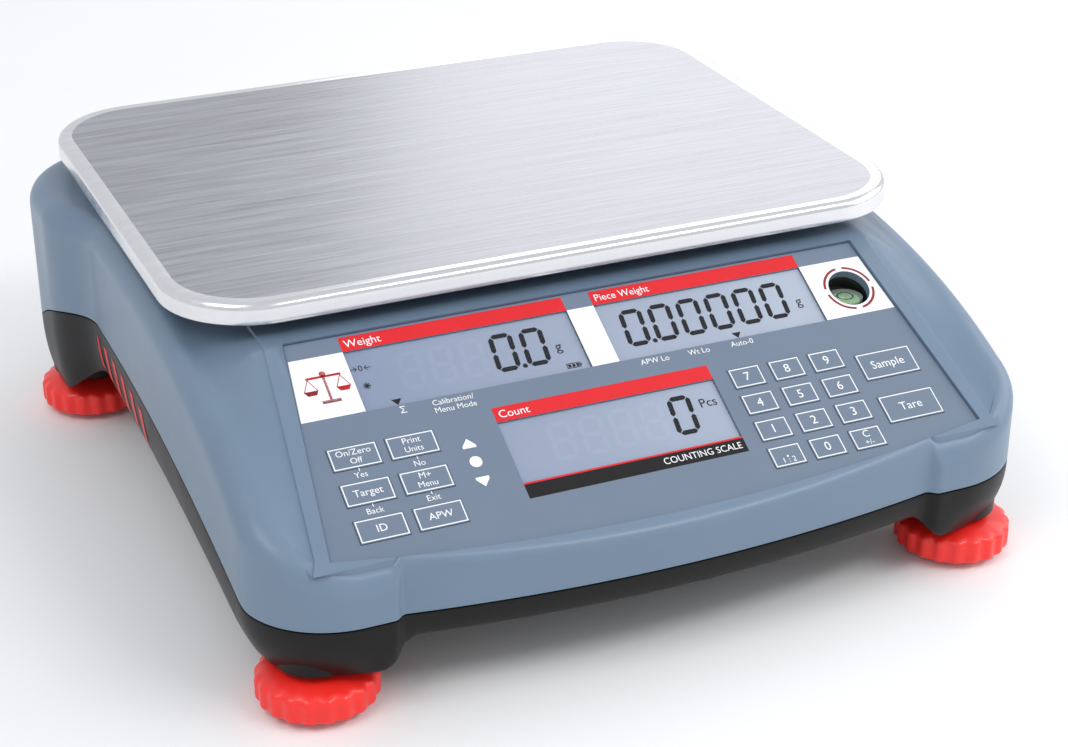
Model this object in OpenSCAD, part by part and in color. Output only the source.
// Counting scale with a lift-off pan, a sloping console and four screw feet.
// Millimetres. +Z is up, +Y is the rear, and the origin is on the table under the middle of the scale.

/* [Weighing pan] */
// Width of the pan
pan_w = 300; // [250:1:360]
// Depth of the pan, front to rear
pan_d = 225; // [187:0.5:270]
// Radius of the pan's corners
pan_r = 36; // [20:1:45]
// Height of the pan's turned-down rim
pan_rim = 8.4; // [6:0.1:10]
// Thickness of the pan's sheet
pan_sheet = 1.2; // [0.8:0.1:1.4]
// Height of the pan's top above the table
pan_top = 119; // [117.5:0.5:130]

/* [Housing] */
// Width of the housing along its straight sides
body_w = 306; // [300:1:368]
// How far each rear corner stands out past the side
wing_out = 12; // [6:1:16]
// Depth of the console in front of the pan
console_d = 98; // [97:1:118]
// Height of the top deck
deck_h = 103; // [100:0.5:103.5]
// Height of the console's front lip
lip_h = 53; // [50:0.5:56]
// Wall thickness of both housings
wall = 2.8; // [2.2:0.1:3.4]
// How far the front face bows out between the corners
front_bow = 9.4; // [5:0.1:12]
// Height of the inside floor
floor_h = 37; // [36:0.5:38]

/* [Console] */
// Half width of the overlay at its top edge
overlay_top = 115.7; // [115:0.1:118]
// Half width of the overlay at its bottom corners
overlay_low = 127.1; // [126:0.1:129]
// Thickness of the overlay
overlay_t = 0.9; // [0.6:0.1:1]
// How far the console's rim stands above the overlay
rim_up = 1.2; // [0.6:0.1:1.5]
// Key travel
key_travel = 0.4; // [0.2:0.05:0.5]
// Gap round each key and window
key_gap = 0.2; // [0.15:0.05:0.3]
// Radius of the sight hole over the level
sight_r = 8.2; // [7.6:0.1:8.6]

/* [Feet] */
// Diameter of a foot knob
knob_d = 44; // [36:0.5:53]
// Height of a foot knob above its pad
knob_h = 13; // [11:0.5:13.5]
// Thickness of the rubber pad under a knob
pad_t = 3; // [2.5:0.1:3]
// Radius of the foot's threaded stud
stud_r = 4; // [3:0.5:5]

/* [Weighing cell] */
// Length of the load cell
cell_l = 130; // [108:1:156]
// Width of the load cell
cell_w = 30; // [25:1:36]
// Height of the load cell
cell_h = 22; // [18:1:24]
// Thickness of the chassis plate
chassis_t = 4; // [3:0.5:5]
// Thickness of the two load cell spacers
spacer_t = 6; // [5:0.5:7]
// Gap between the overload stop and the load cell
stop_gap = 0.6; // [0.4:0.1:1]

/* [Battery and sockets] */
// Length of the battery
battery_l = 100; // [83:1:105]
// Depth of the battery
battery_w = 66; // [56:1:70]
// Height of the battery
battery_h = 47; // [40:1:52]

/* [Hidden] */
KEYS = [
    // name, left edge, top edge, width, height, all along the sloping panel
    ["key_on_zero", -114.8, 46.4, 17.9, 9.3], ["key_print", -93.5, 46.4, 17.9, 9.3],
    ["key_target", -114.8, 61.3, 17.9, 9.3], ["key_menu", -93.5, 61.3, 17.9, 9.3],
    ["key_id", -114.8, 76.2, 17.9, 9.3], ["key_apw", -93.5, 76.2, 17.9, 9.3],
    ["key_7", 40.7, 46.8, 12.8, 8.8], ["key_8", 57.5, 46.8, 12.8, 8.8], ["key_9", 74.3, 46.8, 12.8, 8.8],
    ["key_4", 40.7, 58.8, 12.8, 8.8], ["key_5", 57.5, 58.8, 12.8, 8.8], ["key_6", 74.3, 58.8, 12.8, 8.8],
    ["key_1", 40.7, 70.8, 12.8, 8.8], ["key_2", 57.5, 70.8, 12.8, 8.8], ["key_3", 74.3, 70.8, 12.8, 8.8],
    ["key_point", 40.7, 82.8, 12.8, 8.8], ["key_0", 57.5, 82.8, 12.8, 8.8],
    ["key_clear", 74.3, 82.8, 12.8, 8.8],
    ["key_sample", 92.5, 51.6, 23.3, 12], ["key_tare", 92.5, 71.5, 23.3, 12]
];
DISPLAYS = [
    // name, left edge, top edge, width, height of the glass
    ["weight_display", -95.8, 7.2, 87.3, 26.4],
    ["piece_display", 2.5, 7.2, 87.3, 26.4],
    ["count_display", -51.9, 49, 85.9, 26.3]
];

housing_blue = [0.50, 0.57, 0.64];
housing_black = [0.13, 0.12, 0.12];
knob_red = [0.92, 0.18, 0.16];
steel = [0.78, 0.78, 0.8];
board_green = [0.1, 0.35, 0.2];

// Plan: where the console, the pan and the outline lie
body_d = pan_d + console_d;
front_y = -body_d / 2;
rear_y = body_d / 2;
pan_y = rear_y - pan_d / 2;
panel_gap = 4.3;
panel_y = rear_y - pan_d - panel_gap;
panel_z = deck_h + 0.6;
tilt = atan((panel_z - lip_h) / (panel_y - front_y));
panel_run = (panel_y - front_y) / cos(tilt);
side_x = body_w / 2;
wing_x = side_x + wing_out;
notch_x = side_x - 49;
ear_y = front_y + 6.5;
corner_rx = 35;
corner_ry = 32;
rear_r = 40;
wing_front = pan_y + 20;
wing_back = pan_y + 55;
nose_drop = 41.4;
nose_reach = pan_y - front_y - 12.5;
clear = 0.3;
eps = 0.01;

// Heights along the housing, as functions of y
function unit(t) = max(0, min(1, t));
function deck_z(y) = deck_h - nose_drop * pow(max(0, pan_y - y) / nose_reach, 3);
function rise(y, from, to) = 1 - pow(1 - unit((y - from) / (to - from)), 2);
function seam_z(y) = 38 + 21.5 * rise(y, pan_y - 178, pan_y) - 16 * pow(unit((y - pan_y - 24) / 52), 2);
function fall(t) = (1 - cos(180 * unit(t))) / 2;
function skirt_z(y) = 17.5 + 18 * rise(y, pan_y - 185, pan_y) - 18.5 * fall((y - pan_y - 22) / 34);

// Half of the outline, from the middle of the front round to the middle of the rear
bow_steps = 10;
arc_steps = 9;
wing_steps = 8;
function half_outline(g) = concat(
    [for (i = [0:bow_steps]) let (x = notch_x * i / bow_steps)
        [x, front_y + g + front_bow * pow(x / notch_x, 2)]],
    [for (i = [0:arc_steps]) let (a = 90 * i / arc_steps)
        [side_x - corner_rx + (corner_rx - g) * sin(a), ear_y + corner_ry - (corner_ry - g) * cos(a)]],
    [for (i = [0:wing_steps]) let (t = i / wing_steps)
        [side_x - g + wing_out * fall(t), wing_front + (wing_back - wing_front) * t]],
    [for (i = [0:arc_steps]) let (a = 90 * i / arc_steps)
        [wing_x - rear_r + (rear_r - g) * cos(a), rear_y - rear_r + (rear_r - g) * sin(a)]]
);
function reversed(p) = [for (i = [len(p) - 1:-1:0]) [-p[i].x, p[i].y]];
module outline(g = 0) {
    h = half_outline(g);
    polygon(concat(h, reversed(h)));
}

// A slab that runs across the scale, between two heights given along y
profile_steps = 30;
function along(i) = front_y - 1 + (body_d + 2) * i / profile_steps;
module between(low, high) {
    rotate([90, 0, 90])
    linear_extrude(2 * wing_x + 20, center = true)
    polygon(concat(
        [for (i = [0:profile_steps]) [along(i), low[i]]],
        [for (i = [profile_steps:-1:0]) [along(i), high[i]]]
    ));
}
function level(z) = [for (i = [0:profile_steps]) z];
function deck_line(g) = [for (i = [0:profile_steps]) deck_z(along(i)) - g];
function seam_line(g) = [for (i = [0:profile_steps]) seam_z(along(i)) - g];
function skirt_line() = [for (i = [0:profile_steps]) skirt_z(along(i))];

// The sloping panel: x across, y up the slope, z out of it, from the middle of its top edge
module on_panel(u = 0, v = 0, out = 0) {
    translate([0, panel_y, panel_z]) rotate([tilt, 0, 0]) translate([u, -v, out]) children();
}
module panel_box(item, low, high, grow = 0) {
    on_panel(item[1] - grow, item[2] + item[4] + grow, low)
        cube([item[3] + 2 * grow, item[4] + 2 * grow, high - low]);
}
plateau_top = overlay_top + 6.5;
plateau_low = overlay_low + 8;
plateau_back = 60;
deck_half = plateau_top - 2;
floor_out = -overlay_t - wall;
module plateau(g, low, high) {
    on_panel(0, 0, low) linear_extrude(high - low) polygon([
        [-plateau_top + g, 4], [plateau_top - g, 4],
        [plateau_low - g, -panel_run - 12], [-plateau_low + g, -panel_run - 12]
    ]);
}
overlay_low_v = 89.8;
overlay_sag = 10.1;
module overlay_shape(g) {
    steps = 12;
    polygon(concat(
        [[overlay_top - g, -g], [-overlay_top + g, -g]],
        [for (i = [0:steps]) let (t = 2 * i / steps - 1)
            [(overlay_low - g) * t, g - overlay_low_v - overlay_sag * (1 - t * t)]]
    ));
}

// Places that several pieces share
foot_inset = 23.5;
front_foot = [side_x - foot_inset, front_y + 28];
rear_foot = [wing_x - 18.5, pan_y + 72];
boss_r = 19;
insert_r = stud_r + 2.5;
insert_h = 12;
post_r = 4.5;
screw_r = 1.5;
post_z = 52;
POSTS = [[side_x - 15, front_y + 61.5], [side_x - 11, pan_y + 1]];
BOARD_POSTS = [[-100, 40], [90, 41], [-62, 90], [104, 91.5]];
board_out = -12;
board_t = 1.6;
deck_hole = [cell_l / 2 + 6, cell_w + 12];
cell_bottom = floor_h + chassis_t + spacer_t;
cell_top = cell_bottom + cell_h;
cell_end = 40;
bolt_seat = 12;
bolt_access_r = 5.6;
BOLTS = [12, 28];
support_foot_z = cell_top + spacer_t;
arm_bottom = panel_z + rim_up + 1.4;
pan_pad_t = 2.4;
arm_top = pan_top - pan_sheet - pan_pad_t;
arm_reach = [pan_w / 2 - 34, pan_d / 2 - 34];
battery_x = -12;
battery_y = rear_y - wall - 1.5 - battery_w / 2;
cover_grow = 3;
inlet_x = 104;
serial_x = 66;
socket_z = 66;
jack_spacing = 25;

module mirrored_pair() {
    children();
    mirror([1, 0, 0]) children();
}

// Stainless pan: a flat sheet with a rolled edge and a turned-down rim
module pan_block(g, low, high) {
    w = pan_w / 2 - pan_r;
    d = pan_d / 2 - pan_r;
    translate([0, pan_y, low]) linear_extrude(high - low) union() {
        square([2 * w, pan_d - 2 * g], center = true);
        square([pan_w - 2 * g, 2 * d], center = true);
        for (x = [-w, w], y = [-d, d]) translate([x, y]) circle(pan_r - g, $fn = 64);
    }
}
module weighing_pan() color(steel) {
    edge = 1.5;
    difference() {
        union() {
            pan_block(0, pan_top - pan_rim, pan_top - edge);
            pan_block(edge * 0.4, pan_top - edge, pan_top - edge * 0.4);
            pan_block(edge, pan_top - edge * 0.4, pan_top);
        }
        pan_block(pan_sheet + 0.8, pan_top - pan_rim - 1, pan_top - pan_sheet);
    }
}

// Die-cast support: four arms from a middle plate, and a foot down to the load cell
module arms() {
    angle = atan(arm_reach.y / arm_reach.x);
    length = norm(arm_reach);
    for (a = [angle, 180 - angle, 180 + angle, -angle]) rotate(a) {
        translate([0, -8]) square([length, 16]);
        translate([length, 0]) circle(12, $fn = 48);
    }
}
module pan_support() color([0.7, 0.7, 0.72]) difference() {
    union() {
        translate([0, pan_y, arm_bottom]) linear_extrude(arm_top - arm_bottom) {
            arms();
            translate([-45, -30]) square([cell_l / 2 + 25, 60]);
        }
        translate([cell_l / 2 - cell_end, pan_y - cell_w / 2, support_foot_z])
            cube([cell_end - 4, cell_w, arm_bottom - support_foot_z + 1]);
    }
    for (x = BOLTS) translate([cell_l / 2 - x, pan_y, support_foot_z - 1]) {
        cylinder(r = 3.2, h = 40, $fn = 32);
        translate([0, 0, bolt_seat + 1]) cylinder(r = bolt_access_r, h = 60, $fn = 48);
    }
}
module pan_pads() color([0.15, 0.15, 0.15]) {
    for (x = [-1, 1], y = [-1, 1]) translate([x * arm_reach.x, pan_y + y * arm_reach.y, arm_top])
        cylinder(r = 9, h = pan_pad_t, $fn = 48);
}

// Upper housing: a shell cut to the outline and the side profile, with the raised console
module upper_solid(g) {
    difference() {
        intersection() {
            linear_extrude(pan_top) outline(g);
            between(g > 0 ? level(10) : seam_line(0), deck_line(g));
        }
        plateau(g > 0 ? -g : 0, g > 0 ? floor_out : rim_up, 40);
    }
    intersection() {
        linear_extrude(pan_top) outline(g);
        between(g > 0 ? level(10) : seam_line(0), level(g > 0 ? panel_z + rim_up - wall : panel_z + rim_up));
        union() {
            plateau(g, -90, g > 0 ? floor_out : rim_up);
            translate([g - deck_half, panel_y + 2, 20])
                cube([2 * deck_half - 2 * g, pan_y + plateau_back - panel_y, pan_top]);
        }
    }
}
module level_axis(r, low, high) {
    on_panel(105.5, 21, low) cylinder(r = r, h = high - low, $fn = 48);
}
module upper_housing() color(housing_blue) {
    difference() {
        union() {
            difference() {
                upper_solid(0);
                upper_solid(wall);
            }
            for (p = POSTS) mirrored_pair() translate([p.x, p.y, post_z])
                cylinder(r = post_r, h = deck_z(p.y) - post_z - 1, $fn = 32);
            for (p = BOARD_POSTS) on_panel(p.x, p.y, board_out)
                cylinder(r = 3.5, h = floor_out - board_out + 0.5, $fn = 32);
            for (s = [[inlet_x, 38, 30], [serial_x, 38, 20]])
                translate([s[0] - s[1] / 2, rear_y - wall - 2.4, socket_z - s[2] / 2])
                    cube([s[1], 3, s[2]]);
        }
        on_panel(0, 0, -overlay_t) linear_extrude(20) overlay_shape(-clear);
        for (k = KEYS) on_panel(k[1] + k[3] / 2, k[2] + k[4] / 2, -10) cylinder(r = 2.6, h = 20, $fn = 32);
        for (d = DISPLAYS) panel_box(d, -10, 10, clear);
        level_axis(sight_r + clear, -12, 5);
        for (p = POSTS) mirrored_pair() translate([p.x, p.y, post_z - 1])
            cylinder(r = screw_r, h = 16, $fn = 24);
        for (p = BOARD_POSTS) on_panel(p.x, p.y, board_out - 1) cylinder(r = 1.25, h = 8, $fn = 24);
        translate([cell_l / 4 + 8 - deck_hole.x / 2, pan_y - deck_hole.y / 2, deck_h - 10])
            cube([deck_hole.x, deck_hole.y, 30]);
        translate([inlet_x, rear_y, socket_z]) {
            cube([30.6, 4, 24.6], center = true);
            cube([27.2, 20, 21.2], center = true);
        }
        translate([serial_x, rear_y, socket_z]) {
            cube([31.6, 2, 13], center = true);
            cube([19.8, 20, 11.8], center = true);
            for (x = [-1, 1]) translate([x * jack_spacing / 2, -8, 0]) rotate([-90, 0, 0])
                cylinder(r = 1.8, h = 10, $fn = 24);
        }
    }
}

// Lower housing: a skirt under the seam, a floor, and a boss over each foot
module lower_housing() color(housing_black) {
    top = 0.35;
    difference() {
        union() {
            difference() {
                intersection() {
                    linear_extrude(pan_top) outline();
                    between(skirt_line(), seam_line(top));
                }
                translate([0, 0, floor_h]) linear_extrude(60) outline(wall);
                translate([0, 0, -1]) linear_extrude(floor_h - wall + 1) outline(wall);
                rotate([90, 0, 0]) linear_extrude(-ear_y + 20, center = false) polygon([
                    [-notch_x - 8, 0], [notch_x + 8, 0], [notch_x + 8, 17], [notch_x - 6, 28],
                    [6 - notch_x, 28], [-notch_x - 8, 17]
                ]);
            }
            for (f = [front_foot, rear_foot]) mirrored_pair() foot_boss(f);
            for (p = POSTS) mirrored_pair() translate([p.x, p.y, floor_h - wall])
                cylinder(r = post_r, h = post_z - floor_h + wall, $fn = 32);
        }
        for (p = POSTS) mirrored_pair() translate([p.x, p.y, 0]) {
            translate([0, 0, floor_h - wall - 1]) cylinder(r = 3.2, h = 6, $fn = 32);
            cylinder(r = screw_r + 0.3, h = 60, $fn = 24);
        }
        for (f = [front_foot, rear_foot]) mirrored_pair() translate([f.x, f.y, 0]) {
            translate([0, 0, 10]) cylinder(r = stud_r + 0.6, h = 60, $fn = 32);
            translate([0, 0, floor_h - insert_h]) cylinder(r = insert_r, h = 40, $fn = 32);
        }
        for (x = BOLTS) translate([x - cell_l / 2, pan_y, floor_h - wall - 1])
            cylinder(r = bolt_access_r, h = wall + 2, $fn = 48);
        battery_hole(0.3);
    }
}
boss_bottom = 17.5;
module foot_boss(f) {
    intersection() {
        translate([f.x, f.y, boss_bottom]) cylinder(r = boss_r, h = floor_h - boss_bottom, $fn = 64);
        translate([0, 0, 10]) linear_extrude(60) outline(wall / 2);
    }
}
module battery_hole(g) {
    translate([battery_x - battery_l / 2 - cover_grow - g, battery_y - battery_w / 2 - g, floor_h - wall - 1])
        cube([battery_l + 2 * cover_grow + 2 * g, battery_w + 2 * g, wall + 2]);
}

// Printed overlay with a hole for each key, each display window and the level
module keypad_overlay() color([0.50, 0.55, 0.60]) {
    difference() {
        on_panel(0, 0, -overlay_t) linear_extrude(overlay_t) overlay_shape(0);
        for (k = KEYS) panel_box(k, -5, 5, key_gap);
        for (d = DISPLAYS) panel_box(d, -5, 5, 0.05);
        level_axis(sight_r, -5, 5);
    }
}
module display_windows() color([0.8, 0.85, 0.9, 0.4]) {
    for (d = DISPLAYS) panel_box(d, -overlay_t, 0);
}
module display_module(d) color([0.72, 0.76, 0.82]) {
    panel_box(d, floor_out - 0.2, -overlay_t - 0.1);
    panel_box(d, board_out, floor_out - 0.1, 2.2);
}

// A key: a cap in the overlay and a round plunger that enters its switch
cap_up = 0.3;
cap_down = -overlay_t + key_travel + 0.1;
switch_out = -9.5;
module key(k) color([0.52, 0.57, 0.63]) {
    panel_box(k, cap_down, cap_up);
    on_panel(k[1] + k[3] / 2, k[2] + k[4] / 2, switch_out - 0.5)
        cylinder(r = 1.7, h = cap_down - switch_out + 0.6, $fn = 32);
}
module display_board() color(board_green) {
    difference() {
        on_panel(0, 0, board_out - board_t) linear_extrude(board_t) polygon([
            [-108, -3], [93, -3], [93, -33], [112, -33], [119, -96], [-119, -96]
        ]);
        for (p = BOARD_POSTS) on_panel(p.x, p.y, board_out - 5) cylinder(r = 1.6, h = 8, $fn = 24);
    }
    for (k = KEYS) on_panel(k[1] + k[3] / 2, k[2] + k[4] / 2, board_out) difference() {
        translate([-3, -3, 0]) cube([6, 6, switch_out - board_out]);
        translate([0, 0, 0.6]) cylinder(r = 1.75, h = 5, $fn = 32);
    }
}

// Round bubble level: its axis is vertical, in a holder under the sloping panel
vial_r = 6.8;
vial_h = 10;
function level_point(out) = [
    105.5,
    panel_y - 21 * cos(tilt) - out * sin(tilt),
    panel_z - 21 * sin(tilt) + out * cos(tilt)
];
vial_top = level_point(-5);
module vial_column(r, low, high) {
    translate([vial_top.x, vial_top.y, vial_top.z - low]) cylinder(r = r, h = low - high, $fn = 48);
}
module level_holder() color([0.16, 0.16, 0.17]) {
    difference() {
        level_axis(11.5, -19, floor_out);
        level_axis(sight_r, -9, 0);
        vial_column(vial_r + 0.1, vial_h, -20);
    }
}
module level_vial() color([0.85, 0.95, 0.85, 0.4]) {
    difference() {
        vial_column(vial_r, vial_h, 0);
        vial_column(vial_r - 1, vial_h + 1, 1);
    }
}
module level_fluid() color([0.45, 0.85, 0.25]) {
    vial_column(vial_r - 1.05, vial_h, 1.05);
}

// Circuit boards on the floor, with their larger parts
module board(x, y, w, d, blocks) {
    z = floor_h + 7;
    color(board_green) difference() {
        translate([x - w / 2, y - d / 2, z]) cube([w, d, board_t]);
        for (i = [-1, 1], j = [-1, 1]) translate([x + i * (w / 2 - 4), y + j * (d / 2 - 4), z - 1])
            cylinder(r = 1.6, h = 4, $fn = 24);
    }
    color([0.2, 0.2, 0.22]) for (b = blocks)
        translate([x + b[0], y + b[1], z + board_t]) cube([b[2], b[3], b[4]]);
    color([0.85, 0.8, 0.6]) for (i = [-1, 1], j = [-1, 1])
        translate([x + i * (w / 2 - 4), y + j * (d / 2 - 4), floor_h]) difference() {
            cylinder(r = 3, h = 7, $fn = 24);
            translate([0, 0, -1]) cylinder(r = 1.3, h = 10, $fn = 24);
        }
}
board_x = cell_l / 2 + 44;
module main_board() board(-board_x, pan_y - 27, 44, 96, [
    [-10, -20, 14, 14, 2], [8, -5, 8, 8, 8], [-16, 15, 12, 22, 9], [4, 20, 12, 8, 8],
    [-14, -40, 26, 6, 7]
]);
module power_board() board(board_x, pan_y - 27, 44, 96, [
    [-16, -14, 28, 24, 22], [-14, 16, 10, 24, 14], [4, 22, 12, 12, 18], [-14, -40, 26, 10, 9]
]);

// Mains inlet with three blades, and a nine-way serial port with its jack screws
module power_inlet() {
    color([0.1, 0.1, 0.1]) difference() {
        union() {
            translate([inlet_x - 15, rear_y - 2, socket_z - 12]) cube([30, 2, 24]);
            translate([inlet_x - 13.4, rear_y - 24, socket_z - 10.4]) cube([26.8, 22.5, 20.8]);
        }
        translate([inlet_x - 12.1, rear_y - 17, socket_z - 8.3]) cube([24.2, 20, 16.6]);
    }
    color([0.8, 0.7, 0.4]) for (p = [[-7, -1.5], [0, 2.5], [7, -1.5]])
        translate([inlet_x + p[0] - 1, rear_y - 17, socket_z + p[1] - 2]) cube([2, 12, 4]);
}
module serial_port() {
    color([0.75, 0.75, 0.78]) difference() {
        union() {
            translate([serial_x - 15.4, rear_y - 1, socket_z - 6.2]) cube([30.8, 0.8, 12.4]);
            translate([serial_x - 9.6, rear_y - 12, socket_z - 5.6]) cube([19.2, 11.5, 11.2]);
        }
        translate([serial_x - 8.4, rear_y - 6.5, socket_z - 4]) cube([16.8, 8, 8]);
        for (x = [-1, 1]) translate([serial_x + x * jack_spacing / 2, rear_y - 4, socket_z])
            rotate([-90, 0, 0]) cylinder(r = 1.7, h = 8, $fn = 24);
    }
    color(steel) for (x = [-1, 1])
        translate([serial_x + x * jack_spacing / 2, rear_y - 7, socket_z]) rotate([-90, 0, 0])
        difference() {
            cylinder(r = 1.6, h = 7, $fn = 32);
            translate([0, 0, 1.5]) cylinder(r = 1.2, h = 8, $fn = 32);
        }
}

// Rechargeable battery over its cover in the floor
module battery() color([0.2, 0.22, 0.25]) {
    translate([battery_x - battery_l / 2, battery_y - battery_w / 2 + 0.5, floor_h + 0.1])
        cube([battery_l, battery_w - 1, battery_h - 4]);
    for (x = [-1, 1]) translate([battery_x + x * 36 - 3, battery_y - 22, floor_h + 0.1 + battery_h - 4])
        cube([6, 1.2, 4]);
}
module battery_cover() color(housing_black) difference() {
    intersection() {
        battery_hole(0);
        translate([0, 0, floor_h - wall + 0.1]) linear_extrude(wall - 0.1) square(400, center = true);
    }
    for (x = [-1, 1]) translate([battery_x + x * (battery_l / 2 + 0.2), battery_y, floor_h - wall - 1])
        cylinder(r = 1.6, h = 6, $fn = 24);
}

// Weighing cell: a bored aluminium beam, fixed at its left end and free at its right
module chassis_plate() color([0.72, 0.73, 0.75]) difference() {
    translate([-cell_l / 2 - 8, pan_y - cell_w / 2 - 14, floor_h])
        cube([cell_l + 16, cell_w + 28, chassis_t]);
    for (x = BOLTS) translate([x - cell_l / 2, pan_y, floor_h - 1]) cylinder(r = 3.1, h = 12, $fn = 32);
    translate([cell_l / 2 - 20, pan_y, floor_h - 1]) cylinder(r = 2.5, h = 12, $fn = 32);
    for (x = [-1, 1], y = [-1, 1])
        translate([x * (cell_l / 2 + 2), pan_y + y * (cell_w / 2 + 8), floor_h - 1])
            cylinder(r = 2.2, h = 12, $fn = 24);
}
module load_cell() color([0.8, 0.81, 0.83]) difference() {
    translate([-cell_l / 2, pan_y - cell_w / 2, cell_bottom]) cube([cell_l, cell_w, cell_h]);
    for (x = [-14, 14]) translate([x, pan_y - cell_w / 2 - 1, cell_bottom + cell_h / 2])
        rotate([-90, 0, 0]) cylinder(r = cell_h / 2 - 2.6, h = cell_w + 2, $fn = 48);
    translate([-14, pan_y - cell_w / 2 - 1, cell_bottom + cell_h / 2 - 3]) cube([28, cell_w + 2, 6]);
    for (x = BOLTS) {
        translate([x - cell_l / 2, pan_y, cell_bottom - 1]) cylinder(r = 2.9, h = 15, $fn = 32);
        translate([cell_l / 2 - x, pan_y, cell_top - 14]) cylinder(r = 2.9, h = 15, $fn = 32);
    }
}
module spacer(x, z) difference() {
    translate([x, pan_y - cell_w / 2, z]) cube([cell_end - 4, cell_w, spacer_t]);
    for (b = BOLTS) translate([x + b, pan_y, z - 1])
        cylinder(r = 3.1, h = spacer_t + 2, $fn = 32);
}
module cell_spacer() color([0.6, 0.6, 0.62]) spacer(-cell_l / 2, cell_bottom - spacer_t);
module platform_spacer() color([0.6, 0.6, 0.62]) spacer(cell_l / 2 - cell_end, cell_top);
module hex_bolt(x, y, z, r, length, up) {
    translate([x, y, z]) mirror([0, 0, up ? 0 : 1]) {
        translate([0, 0, -r * 1.1]) cylinder(r = r * 1.7, h = r * 1.1, $fn = 6);
        cylinder(r = r, h = length, $fn = 32);
    }
}
module cell_bolts() color(steel) for (x = BOLTS)
    hex_bolt(x - cell_l / 2, pan_y, floor_h, 2.85, chassis_t + spacer_t + 12, true);
module platform_bolts() color(steel) for (x = BOLTS)
    hex_bolt(cell_l / 2 - x, pan_y, support_foot_z + bolt_seat, 2.85, bolt_seat + spacer_t + 12, false);
module overload_stop() color(steel) translate([cell_l / 2 - 20, pan_y, 0]) {
    translate([0, 0, floor_h + chassis_t]) difference() {
        cylinder(r = 4.6, h = 3.4, $fn = 6);
        translate([0, 0, -1]) cylinder(r = 2.45, h = 6, $fn = 32);
    }
    translate([0, 0, floor_h + eps]) cylinder(r = 2.4, h = cell_bottom - stop_gap - floor_h, $fn = 32);
}

// Screws
module pan_head(r, length) {
    translate([0, 0, -1.8]) cylinder(r = 2 * r, h = 1.8, $fn = 32);
    cylinder(r = r, h = length, $fn = 24);
}
module housing_screws() color([0.3, 0.3, 0.32]) {
    for (p = POSTS) mirrored_pair() translate([p.x, p.y, floor_h - wall + 5]) pan_head(1.4, 24);
    for (x = [-1, 1]) translate([battery_x + x * (battery_l / 2 + 0.2), battery_y, floor_h - wall])
        pan_head(1.5, 2.6);
}
module board_screws() color(steel) {
    for (p = BOARD_POSTS) on_panel(p.x, p.y, board_out - board_t) pan_head(1.2, 7.5);
}

// Feet: a fluted knob on a steel stud that turns in a brass insert, over a rubber pad
module foot_inserts() color([0.8, 0.65, 0.3]) {
    for (f = [front_foot, rear_foot]) mirrored_pair() translate([f.x, f.y, floor_h - insert_h]) difference() {
        cylinder(r = insert_r, h = insert_h, $fn = 48);
        translate([0, 0, -1]) cylinder(r = stud_r + 0.05, h = insert_h + 2, $fn = 48);
    }
}
flutes = 20;
flute_r = 2.2;
module foot_knob(f, side) translate([side * f.x, f.y, 0]) {
    color(knob_red) difference() {
        union() {
            translate([0, 0, pad_t]) linear_extrude(knob_h - 1.6) difference() {
                circle(knob_d / 2, $fn = 96);
                for (i = [0:flutes - 1]) rotate(360 * i / flutes)
                    translate([knob_d / 2 + flute_r * 0.45, 0]) circle(flute_r, $fn = 24);
            }
            translate([0, 0, pad_t + knob_h - 1.6]) cylinder(r = knob_d / 2 - 2.2, h = 1.6, $fn = 96);
        }
        translate([0, 0, pad_t - 1]) cylinder(r = stud_r + 0.03, h = 40, $fn = 48);
        translate([0, 0, pad_t - 1]) cylinder(r = 11.3, h = 2.6, $fn = 64);
    }
    color(steel) translate([0, 0, pad_t + 1.6]) cylinder(r = stud_r, h = floor_h - pad_t - 2, $fn = 48);
}
module foot_pad(f, side) color([0.12, 0.12, 0.12]) translate([side * f.x, f.y, 0]) {
    cylinder(r = 11, h = pad_t, $fn = 64);
    translate([0, 0, pad_t - eps]) cylinder(r = 7, h = 1.5, $fn = 48);
}

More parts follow.
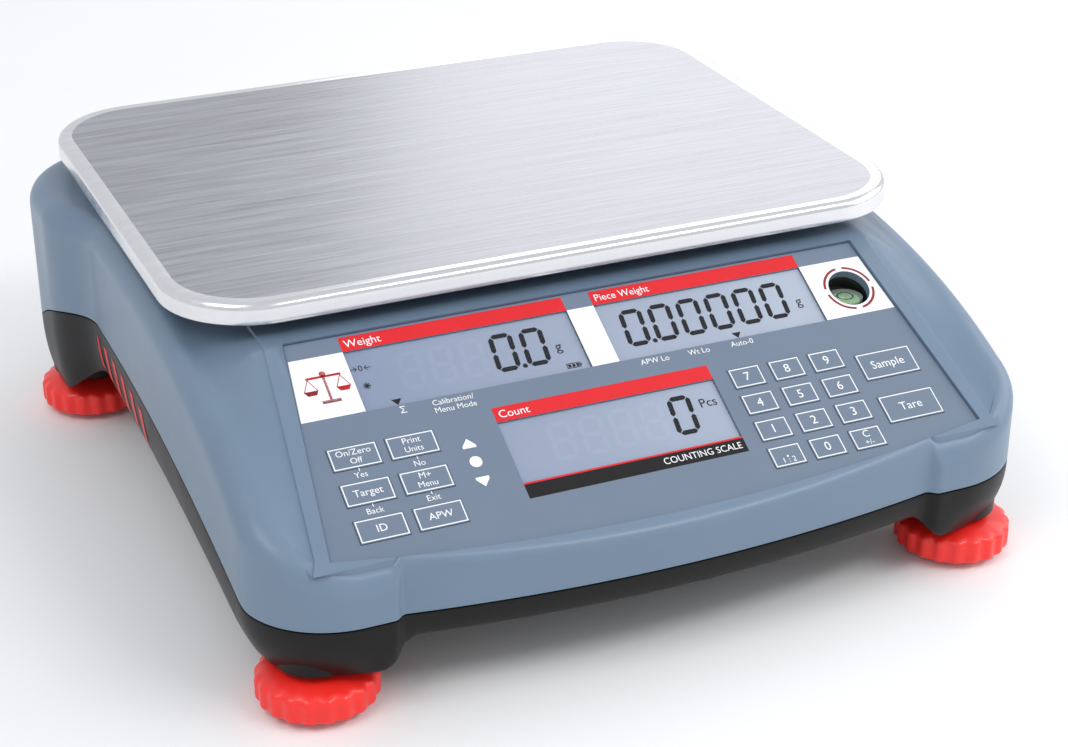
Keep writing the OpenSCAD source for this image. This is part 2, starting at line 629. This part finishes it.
// Wires that the case holds: the load cell cable and the two battery leads
function lerp(a, b, t) = a + (b - a) * t;
module wire(points, r) {
    sides = 8;
    n = len(points);
    function ahead(i) = points[min(i + 1, n - 1)] - points[max(i - 1, 0)];
    rings = [for (i = [0:n - 1]) let (
        t = ahead(i) / norm(ahead(i)),
        a = cross(t, abs(t.z) < 0.9 ? [0, 0, 1] : [1, 0, 0]),
        u = a / norm(a),
        v = cross(t, u)
    ) [for (k = [0:sides - 1]) points[i] + r * (cos(45 * k) * u + sin(45 * k) * v)]];
    polyhedron(
        [for (ring = rings) each ring],
        concat(
            [[for (k = [0:sides - 1]) k]],
            [for (i = [0:n - 2], k = [0:sides - 1]) let (j = (k + 1) % sides)
                [i * sides + k, (i + 1) * sides + k, (i + 1) * sides + j, i * sides + j]],
            [[for (k = [sides - 1:-1:0]) (n - 1) * sides + k]]
        )
    );
}
function arch(a, b, up, steps = 12) =
    [for (i = [0:steps]) let (t = i / steps) lerp(a, b, t) + [0, 0, up * 4 * t * (1 - t)]];
function lead(a, out, b, up) = concat([a], arch(a + out, b + [0, 0, 4], up), [b]);
board_top = floor_h + 7 + board_t;
module internal_wiring() {
    color([0.25, 0.25, 0.27]) wire(lead(
        [-cell_l / 2 - 0.2, pan_y, cell_bottom + cell_h / 2], [-4, 0, 0],
        [-board_x + 12, pan_y - 28, board_top + 8.2], 6), 1.8);
    color([0.8, 0.1, 0.1]) wire(lead(
        [battery_x - 36, battery_y - 22.2, floor_h + battery_h - 2], [0, -4, 0],
        [-board_x + 10, pan_y - 3, board_top + 8.2], 8), 1.2);
    color([0.1, 0.1, 0.1]) wire(lead(
        [battery_x + 36, battery_y - 22.2, floor_h + battery_h - 2], [0, -4, 0],
        [board_x - 9, pan_y + 1, board_top + 14.2], 8), 1.2);
}

weighing_pan();
pan_support();
pan_pads();
upper_housing();
lower_housing();
keypad_overlay();
display_windows();
display_module(DISPLAYS[0]);  // weight_display
display_module(DISPLAYS[1]);  // piece_display
display_module(DISPLAYS[2]);  // count_display
display_board();
level_holder();
level_vial();
level_fluid();
main_board();
power_board();
power_inlet();
serial_port();
battery();
battery_cover();
chassis_plate();
load_cell();
cell_spacer();
platform_spacer();
cell_bolts();
platform_bolts();
overload_stop();
housing_screws();
board_screws();
foot_inserts();
internal_wiring();
foot_knob(front_foot, -1);  // foot_knob_front_left
foot_knob(front_foot, 1);  // foot_knob_front_right
foot_knob(rear_foot, -1);  // foot_knob_rear_left
foot_knob(rear_foot, 1);  // foot_knob_rear_right
foot_pad(front_foot, -1);  // foot_pad_front_left
foot_pad(front_foot, 1);  // foot_pad_front_right
foot_pad(rear_foot, -1);  // foot_pad_rear_left
foot_pad(rear_foot, 1);  // foot_pad_rear_right
for (k = KEYS) key(k);
